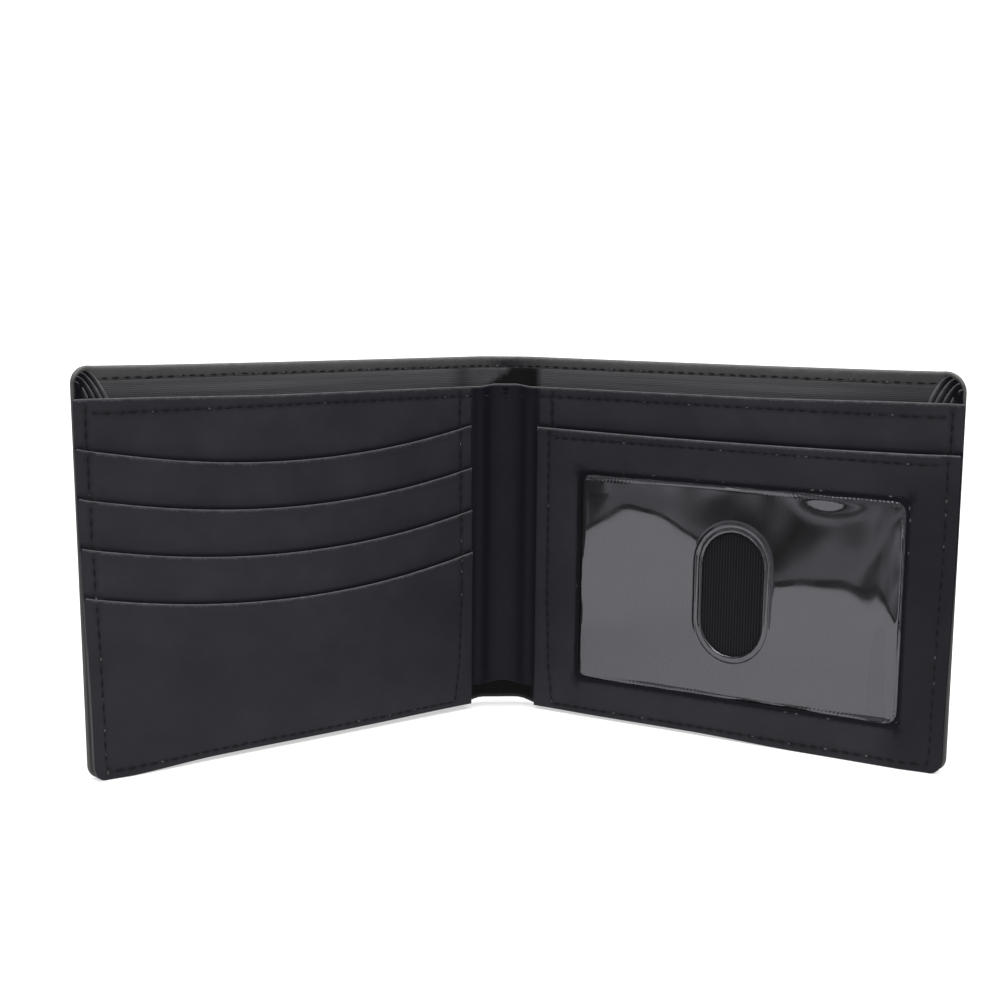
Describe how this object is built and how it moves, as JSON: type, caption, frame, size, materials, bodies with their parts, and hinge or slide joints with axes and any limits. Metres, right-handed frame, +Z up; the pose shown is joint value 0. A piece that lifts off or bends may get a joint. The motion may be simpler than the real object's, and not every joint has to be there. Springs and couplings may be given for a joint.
{
  "type": "bifold wallet",
  "caption": "Slim bifold wallet standing half open: stepped card slots on one panel, clear ID window with thumb hole on the other, bill compartment behind, folding spine.",
  "frame": {"origin": "bottom centre of the bounding box of the half-open wallet, on the surface it stands on", "axes": "+Z up along the fold lines, +X along the wallet's width, -Y towards the open side of the V"},
  "size_m": [0.1932, 0.0728, 0.09],
  "materials": {
    "cover_leather": "fine-grained smooth leather, satin",
    "pocket_leather": "smooth coated leather, satin",
    "gusset_leather": "thin soft leather, creased",
    "lining_fabric": "fine horizontal-rib lining",
    "ribbed_fabric": "black vertical-rib fabric",
    "clear_film": "clear glossy film",
    "stiffener_board": "plain board",
    "thread": "black twisted thread"
  },
  "bodies": {
    "spine": {"spine_leather": "cover_leather", "bill_lining_spine": "lining_fabric", "divider_spine": "pocket_leather", "hem_stitch_spine": "thread", "divider_stitch_spine": "thread"},
    "left_panel": {"cover_left": "cover_leather", "stiffener_left": "stiffener_board", "bill_lining_left": "lining_fabric", "gusset_left": "gusset_leather", "divider_lining_left": "lining_fabric", "divider_left": "pocket_leather", "card_slot_1": "pocket_leather", "card_slot_2": "pocket_leather", "card_slot_3": "pocket_leather", "card_slot_4": "pocket_leather", "slot_tongue_1": "lining_fabric", "slot_tongue_2": "lining_fabric", "slot_tongue_3": "lining_fabric", "hem_stitch_left": "thread", "divider_stitch_left": "thread", "perimeter_stitch_left": "thread"},
    "right_panel": {"cover_right": "cover_leather", "stiffener_right": "stiffener_board", "bill_lining_right": "lining_fabric", "gusset_right": "gusset_leather", "divider_lining_right": "lining_fabric", "divider_right": "pocket_leather", "id_pocket_lining": "ribbed_fabric", "id_window_film": "clear_film", "id_window_frame": "pocket_leather", "hem_stitch_right": "thread", "divider_stitch_right": "thread", "perimeter_stitch_right": "thread", "window_lip_stitch": "thread", "window_stitch": "thread"}
  },
  "joints": [
    {"name": "left_fold", "type": "hinge", "parent": "spine", "child": "left_panel", "pos_m": [-0.006, 0.03597, 0.045], "axis": [0, 0, 1], "range_deg": [-37.4, 53.3], "deforming": ["bill_lining_spine", "divider_spine", "divider_stitch_spine"]},
    {"name": "right_fold", "type": "hinge", "parent": "spine", "child": "right_panel", "pos_m": [0.006, 0.03597, 0.045], "axis": [0, 0, -1], "range_deg": [-37.4, 53.3], "deforming": ["bill_lining_spine", "divider_spine", "divider_stitch_spine"]}
  ]
}
